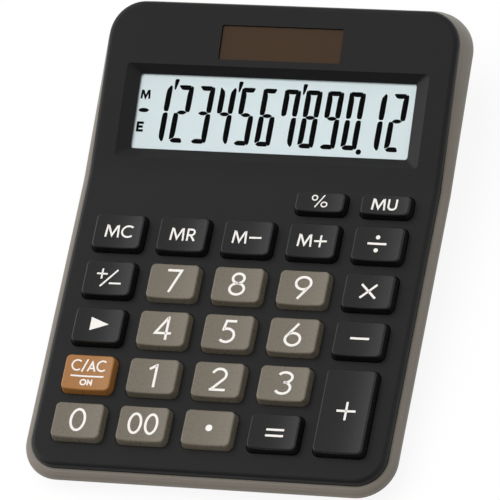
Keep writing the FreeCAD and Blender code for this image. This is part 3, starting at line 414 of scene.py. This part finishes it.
CUT_STEP = 0.6
CUT_REACH = 6.6
CUT_CLOSE = 1e-5
LAY_HEIGHT = 5 * MM
DIGIT_HEIGHT = 6.95
DIGIT_STROKE = 0.72
DIGIT_STRETCH = 1.12
DIGIT_GAP = 0.08
DIGIT_RAISE = 0.18
DOUBLE_HEIGHT = 6.4
DOUBLE_STRETCH = 1.02
DOUBLE_PLACE = (0.15, 0.08)
WORD_HEIGHT = 3.75
WORD_STROKE = 0.54
WORD_STRETCH = 1.08
WORD_GAP = 0.12
MEMORY_CLEAR_X = 0.35
MEMORY_RECALL_X = 0.15
PERCENT_HEIGHT = 3.75
PERCENT_STROKE = 0.36
PERCENT_STRETCH = 1.14
PERCENT_PLACE = (-0.25, 0.23)
MARK_UP_HEIGHT = 3.4
MARK_UP_STRETCH = 1.13
MARK_UP_PLACE = (-0.25, 0.08)
SIGN_LENGTH = 5.4
SIGN_STROKE = 0.64
PLUS_PLACE = (0.36, 0.1)
MINUS_PLACE = (0.15, 0.15)
DIVIDE_X = -0.28
DIVIDE_DOT = 0.62
DIVIDE_OFFSET = 1.95
EQUALS_LENGTH = 5.1
EQUALS_X = 0.36
EQUALS_LEVELS = (0.58, -1.18)
MULTIPLY_LENGTH = 6.0
MULTIPLY_TURNS = (43, -43)
POINT_RADIUS = 0.98
POINT_X = 0.3
ARROW = [(-2.3, -1.65), (3.0, 0.35), (-2.3, 2.35)]
TURN_STROKE = 0.5
TURN_PLUS = 3.1
TURN_PLUS_PLACE = (-2.0, 1.25)
TURN_MINUS = 3.5
TURN_MINUS_PLACE = (2.2, -1.55)
SLASH_LENGTH = 6.8
SLASH_TURN = 49
SLASH_X = 0.2
CLEAR_HEIGHT = 3.4
CLEAR_STROKE = 0.46
CLEAR_STRETCH = 0.95
CLEAR_GAP = 0.06
CLEAR_RAISE = 2.05
LINE_DROP = -1.15
LINE_LENGTH = 9.6
ON_HEIGHT = 1.75
ON_STROKE = 0.42
ON_STRETCH = 1.06
ON_DROP = -2.95


def word(text, x=0.0):
    """The legend of a memory key."""
    return [(WORD_STROKE, words(text, WORD_HEIGHT, WORD_GAP, (x, 0), WORD_STRETCH))]


def digits(text, height=DIGIT_HEIGHT, place=(0, DIGIT_RAISE), stretch=DIGIT_STRETCH):
    """The legend of a digit key."""
    return [(DIGIT_STROKE, words(text, height, DIGIT_GAP, place, stretch))]


# Strokes with their widths, and filled outlines, by key
LEGENDS = {
    "key_plus": [(SIGN_STROKE, cross(SIGN_LENGTH, PLUS_PLACE))],
    "key_minus": [(SIGN_STROKE, [bar(SIGN_LENGTH, *MINUS_PLACE)])],
    "key_multiply": [(SIGN_STROKE, [bar(MULTIPLY_LENGTH, turn=turn) for turn in MULTIPLY_TURNS])],
    "key_divide": [(SIGN_STROKE, [bar(SIGN_LENGTH, DIVIDE_X)])],
    "key_equals": [(SIGN_STROKE, [bar(EQUALS_LENGTH, EQUALS_X, level) for level in EQUALS_LEVELS])],
    "key_percent": [(PERCENT_STROKE, words("%", PERCENT_HEIGHT, 0, PERCENT_PLACE, PERCENT_STRETCH))],
    "key_mark_up": [(WORD_STROKE, words("MU", MARK_UP_HEIGHT, WORD_GAP, MARK_UP_PLACE, MARK_UP_STRETCH))],
    "key_memory_clear": word("MC", MEMORY_CLEAR_X),
    "key_memory_recall": word("MR", MEMORY_RECALL_X),
    "key_memory_minus": word("M-"),
    "key_memory_plus": word("M+"),
    "key_sign": [(TURN_STROKE, cross(TURN_PLUS, TURN_PLUS_PLACE)),
                 (TURN_STROKE, [bar(SLASH_LENGTH, SLASH_X, turn=SLASH_TURN),
                                bar(TURN_MINUS, *TURN_MINUS_PLACE)])],
    "key_clear": [(CLEAR_STROKE, words("C/AC", CLEAR_HEIGHT, CLEAR_GAP, (0, CLEAR_RAISE), CLEAR_STRETCH)),
                  (CLEAR_STROKE, [bar(LINE_LENGTH, y=LINE_DROP)]),
                  (ON_STROKE, words("ON", ON_HEIGHT, WORD_GAP, (0, ON_DROP), ON_STRETCH))],
    "key_00": digits("00", DOUBLE_HEIGHT, DOUBLE_PLACE, DOUBLE_STRETCH),
}
for digit in "0123456789":
    LEGENDS["key_" + digit] = digits(digit)
PATCHES = {
    "key_point": [dot(POINT_RADIUS, POINT_X)],
    "key_delete": [ARROW],
    "key_divide": [dot(DIVIDE_DOT, DIVIDE_X, DIVIDE_OFFSET), dot(DIVIDE_DOT, DIVIDE_X, -DIVIDE_OFFSET)],
}


def flat_legend(key):
    """The strokes and filled outlines of a key's legend, in a plane."""
    mesh = bmesh.new()
    for width, paths in LEGENDS.get(key, []):
        for path in paths:
            add_stroke(mesh, path, width)
    for outline in PATCHES.get(key, []):
        add_patch(mesh, outline)
    return mesh


def cut_in_strips(mesh):
    """Cut a flat legend into narrow strips, so that it can follow the dish of its key."""
    count = int(2 * CUT_REACH / CUT_STEP)
    for index in range(count + 1):
        geometry = mesh.verts[:] + mesh.edges[:] + mesh.faces[:]
        place = (index * CUT_STEP - CUT_REACH, 0, 0)
        bmesh.ops.bisect_plane(mesh, geom=geometry, plane_co=place, plane_no=SIDE, dist=CUT_CLOSE)


def lay_on_key(mesh, key):
    """Bring a flat legend onto the dished top of its key."""
    turn = top_frame(key, KEYBOARD_NORMAL)
    above = KEYBOARD_NORMAL * LAY_HEIGHT
    for vertex in mesh.verts:
        place = turn @ (vertex.co * MM) + above
        found, hit, normal, face = nodes[key].ray_cast(place, -KEYBOARD_NORMAL)
        vertex.co = hit + KEYBOARD_NORMAL * PRINT_RISE


def make_legends():
    """One printed piece on each key."""
    for key in sorted(set(LEGENDS) | set(PATCHES)):
        mesh = flat_legend(key)
        cut_in_strips(mesh)
        lay_on_key(mesh, key)
        print_piece("legend_of_" + key, mesh, LEGEND_WHITE, key)


# Figures of the display, in millimetres from the middle of the display

# Widths of the segments, and the cuts at their ends
UPRIGHT = 1.6
LEVEL = 1.4
SEGMENT_GAP = 0.12
LEFT_TIP = -0.6
RIGHT_TIP = 0.1
FOOT_RAISE = 0.75
FOOT_RUN = 0.8
TIP_CUT = 0.1
CHAMFER = 0.7
BLUNT = 0.3
INNER_CUT = 0.5
OUTER_CUT = 0.15
END_SHIFT = 0.2
CROSSBAR = 1.15
CROSSBAR_INSET = 0.05
CROSSBAR_TAPER = 0.95
CORNER_CUT = 0.16
CORNER_ROUNDS = 2
# Places and slant of the figures
FIGURE_WIDTH = 3.15
FIGURE_TOP = 8.3
FIGURE_MIDDLE = 0.4
FIGURE_BOTTOM = -8.38
FIGURE_PITCH = 6.262
FIRST_FIGURE = -34.8
SLANT = 0.048
FIGURES = "123456789012"
# Marks between the figures, by the number of the figure before them
SEPARATORS = [0, 3, 6]
SEPARATOR_X = 1.55
SEPARATOR = [(-0.25, 6.9), (0.2, 6.9), (0.95, 10.0), (-0.5, 10.0)]
DECIMAL_AFTER = 9
DECIMAL_X = 1.5
DECIMAL_Y = -8.75
DECIMAL_RADIUS = 0.78
# Small signs at the left, with stroke width, height and place, and the dash between them
SMALL_SIGNS = [("M", 0.58, 2.6, (-38.2, 5.25)), ("E", 0.72, 2.8, (-38.5, -4.15))]
DASH = (-38.15, 0.65)
DASH_LENGTH = 3.0
DASH_WIDTH = 1.24
# Lit segments of each figure: a to f run clockwise from the top, and g is the crossbar
SEGMENTS_ON = {
    "0": "abcdef", "1": "bc", "2": "abged", "3": "abgcd", "4": "fgbc",
    "5": "afgcd", "6": "afgedc", "7": "abcf", "8": "abcdefg", "9": "abcdfg",
}


def mitre(side, end):
    """Where two segments meet at a corner of a figure: the place at the edge, and the place inside.

    At the lower left the place at the edge is raised, so that the bottom segment ends under the upright.
    """
    middle, lean = (FIGURE_WIDTH, RIGHT_TIP) if side > 0 else (0, LEFT_TIP)
    edge = FIGURE_TOP if end > 0 else FIGURE_BOTTOM
    tip = edge + FOOT_RAISE if side < 0 and end < 0 else edge
    return (middle + lean, tip), (middle - side * UPRIGHT / 2, edge - end * LEVEL)


def upright_segment(side, end):
    """The segment at the left (-1) or right (1) of a figure, below (-1) or above (1) its middle."""
    (x, tip), (inner, turn) = mitre(side, end)
    outer = inner + side * UPRIGHT
    near = FIGURE_MIDDLE + end * SEGMENT_GAP
    middle = (inner + outer) / 2 - side * END_SHIFT
    return [(inner, near + end * INNER_CUT), (middle, near), (outer, near + end * OUTER_CUT),
            (outer, tip - end * CHAMFER), (x + side * SEGMENT_GAP, tip - end * TIP_CUT),
            (inner, turn - end * SEGMENT_GAP)]


def level_segment(end):
    """The segment that closes a figure at the bottom (-1) or at the top (1)."""
    (left, tip), (inner_left, turn) = mitre(-1, end)
    (right, edge), (inner_right, turn) = mitre(1, end)
    run, drop = (BLUNT, BLUNT) if end > 0 else (FOOT_RUN, SEGMENT_GAP)
    return [(left + SEGMENT_GAP + run, edge), (right - SEGMENT_GAP - BLUNT, edge),
            (right - SEGMENT_GAP, edge - end * BLUNT), (inner_right + BLUNT, turn),
            (inner_left - BLUNT, turn), (left + SEGMENT_GAP, tip - drop)]


def crossbar():
    """The pointed segment in the middle of a figure."""
    left, right = CROSSBAR_INSET, FIGURE_WIDTH - CROSSBAR_INSET
    low, high = FIGURE_MIDDLE - CROSSBAR / 2, FIGURE_MIDDLE + CROSSBAR / 2
    return [(left, FIGURE_MIDDLE), (left + CROSSBAR_TAPER, low), (right - CROSSBAR_TAPER, low),
            (right, FIGURE_MIDDLE), (right - CROSSBAR_TAPER, high), (left + CROSSBAR_TAPER, high)]


def figure_segments():
    """Outlines of the seven segments, from the middle line of the left uprights."""
    return {
        "a": level_segment(1),
        "b": upright_segment(1, 1),
        "c": upright_segment(1, -1),
        "d": level_segment(-1),
        "e": upright_segment(-1, -1),
        "f": upright_segment(-1, 1),
        "g": crossbar(),
    }


def counter_clockwise(outline):
    """The outline, turned round where it runs clockwise."""
    area = sum(ax * by - bx * ay for (ax, ay), (bx, by) in zip(outline, outline[1:] + outline[:1]))
    return outline if area > 0 else outline[::-1]


def soften(outline):
    """Cut every corner of an outline a few times, so that it looks rounded."""
    for step in range(CORNER_ROUNDS):
        pairs = list(zip(outline, outline[1:] + outline[:1]))
        outline = [(ax + (bx - ax) * part, ay + (by - ay) * part)
                   for (ax, ay), (bx, by) in pairs for part in (CORNER_CUT, 1 - CORNER_CUT)]
    return outline


def figure_outlines():
    """Every lit outline of the display, slanted as the figures are."""
    segments = figure_segments()
    outlines = []
    for index, figure in enumerate(FIGURES):
        left = FIRST_FIGURE + index * FIGURE_PITCH
        for name in SEGMENTS_ON[figure]:
            outlines.append([(left + x, y) for x, y in segments[name]])
    for index in SEPARATORS:
        right = FIRST_FIGURE + index * FIGURE_PITCH + FIGURE_WIDTH
        outlines.append([(right + SEPARATOR_X + x, y) for x, y in SEPARATOR])
    right = FIRST_FIGURE + DECIMAL_AFTER * FIGURE_PITCH + FIGURE_WIDTH
    outlines.append(dot(DECIMAL_RADIUS, right + DECIMAL_X, DECIMAL_Y))
    return [[(x + SLANT * y, y) for x, y in outline] for outline in outlines]


def make_display_print():
    """The figures and the small signs at the left of the display."""
    mesh = bmesh.new()
    for outline in figure_outlines():
        add_patch(mesh, soften(counter_clockwise(outline)))
    for sign, width, height, place in SMALL_SIGNS:
        for path in words(sign, height, place=place):
            add_stroke(mesh, path, width)
    add_patch(mesh, arc(*DASH, DASH_LENGTH / 2, DASH_WIDTH / 2, 0, 360)[:-1])
    turn = top_frame("lcd_panel", DISPLAY_NORMAL)
    for vertex in mesh.verts:
        vertex.co = turn @ (vertex.co * MM) + DISPLAY_NORMAL * PRINT_RISE
    print_piece("display_figures", mesh, DISPLAY_BLACK, "case")


# Stage: floor, light and camera

CAMERA_PLACE = Vector((0.5856, -0.8466, 1.4596))
CAMERA_RIGHT = Vector((0.94282, 0.2089, -0.2597))
CAMERA_UP = Vector((-0.04653, 0.85407, 0.51808))
CAMERA_LENS = 468.0
SENSOR = 36.0
NEAREST = 0.1
FARTHEST = 20
FLOOR_SIZE = 8.0
FLOOR_CELLS = 8
FLOOR_COLOUR = (0.93, 0.93, 0.93)
FLOOR_ROUGHNESS = 0.9
FLOOR_CLOUD = 3
FLOOR_TINT = 0.005
FLOOR_GLOW = 0.9
WORLD_DIM = 0.08
WORLD_BRIGHT = 0.7
BRIGHT_SIDE = Vector((0.45, 0.85, 0.25)).normalized()
OVERHEAD_STRENGTH = 1.65
OVERHEAD_WIDTH = 60
OVERHEAD_PLACE = Vector((-0.3, 0.0, 1.0))
SIDE_STRENGTH = 1.25
SIDE_WIDTH = 72
SIDE_PLACE = Vector((-1.0, 0.1, 0.55))


def make_floor():
    """The plain floor that the object stands on."""
    mesh = bmesh.new()
    bmesh.ops.create_grid(mesh, x_segments=FLOOR_CELLS, y_segments=FLOOR_CELLS, size=FLOOR_SIZE / 2)
    data = bpy.data.meshes.new("floor")
    mesh.to_mesh(data)
    mesh.free()
    floor = bpy.data.objects.new("floor", data)
    bpy.context.scene.collection.objects.link(floor)
    data.materials.append(floor_surface())


def either(tree, first, second):
    """1 where either of two values is 1."""
    node = tree.nodes.new("ShaderNodeMath")
    node.operation = "MAXIMUM"
    tree.links.new(first, node.inputs[0])
    tree.links.new(second, node.inputs[1])
    return node.outputs[0]


def floor_surface():
    """A pale floor that is seen nearly white, with a faint shadow of the object on it."""
    material, shader = new_material("floor_surface", FLOOR_COLOUR, FLOOR_ROUGHNESS, specular=0.0)
    tree = material.node_tree
    tint(material, shader, noise(material, FLOOR_CLOUD), FLOOR_COLOUR, FLOOR_TINT)
    path = tree.nodes.new("ShaderNodeLightPath")
    seen = either(tree, path.outputs["Is Camera Ray"], path.outputs["Is Glossy Ray"])
    seen = either(tree, seen, path.outputs["Is Transmission Ray"])
    share = tree.nodes.new("ShaderNodeMath")
    share.operation = "MULTIPLY"
    share.inputs[1].default_value = FLOOR_GLOW
    tree.links.new(seen, share.inputs[0])
    glow = tree.nodes.new("ShaderNodeEmission")
    mix = tree.nodes.new("ShaderNodeMixShader")
    tree.links.new(share.outputs[0], mix.inputs["Fac"])
    tree.links.new(shader.outputs["BSDF"], mix.inputs[1])
    tree.links.new(glow.outputs["Emission"], mix.inputs[2])
    tree.links.new(mix.outputs["Shader"], tree.nodes["Material Output"].inputs["Surface"])
    return material


def make_sun(name, strength, width, place):
    """A broad soft lamp that shines from a direction."""
    lamp = bpy.data.lights.new(name, "SUN")
    lamp.energy = strength
    lamp.angle = math.radians(width)
    sun = bpy.data.objects.new(name, lamp)
    sun.rotation_euler = (-place).to_track_quat("-Z", "Y").to_euler()
    bpy.context.scene.collection.objects.link(sun)
    return sun


def make_light():
    """Two broad lamps, and a world that is brighter towards one side."""
    world = bpy.data.worlds.new("studio")
    bpy.context.scene.world = world
    world.use_nodes = True
    background = world.node_tree.nodes["Background"]
    background.inputs["Color"].default_value = (1, 1, 1, 1)
    links = world.node_tree.links
    place = world.node_tree.nodes.new("ShaderNodeTexCoord")
    side = world.node_tree.nodes.new("ShaderNodeVectorMath")
    side.operation = "DOT_PRODUCT"
    side.inputs[1].default_value = BRIGHT_SIDE
    strength = world.node_tree.nodes.new("ShaderNodeMapRange")
    strength.inputs["From Min"].default_value = -1.0
    strength.inputs["To Min"].default_value = WORLD_DIM
    strength.inputs["To Max"].default_value = WORLD_BRIGHT
    links.new(place.outputs["Generated"], side.inputs[0])
    links.new(side.outputs["Value"], strength.inputs["Value"])
    links.new(strength.outputs["Result"], background.inputs["Strength"])
    overhead = make_sun("overhead_light", OVERHEAD_STRENGTH, OVERHEAD_WIDTH, OVERHEAD_PLACE)
    overhead.visible_glossy = False
    make_sun("side_light", SIDE_STRENGTH, SIDE_WIDTH, SIDE_PLACE)


def make_camera():
    """A long lens from the front right, above the object."""
    data = bpy.data.cameras.new("camera")
    data.lens = CAMERA_LENS
    data.sensor_width = SENSOR
    data.clip_start = NEAREST
    data.clip_end = FARTHEST
    camera = bpy.data.objects.new("camera", data)
    back = CAMERA_RIGHT.cross(CAMERA_UP)
    turn = Matrix((CAMERA_RIGHT, CAMERA_UP, back)).transposed().to_4x4()
    camera.matrix_world = Matrix.Translation(CAMERA_PLACE) @ turn
    bpy.context.scene.collection.objects.link(camera)
    bpy.context.scene.camera = camera


finish_nodes()
make_legends()
make_display_print()
make_floor()
make_light()
make_camera()
bpy.context.scene.view_settings.view_transform = "Standard"
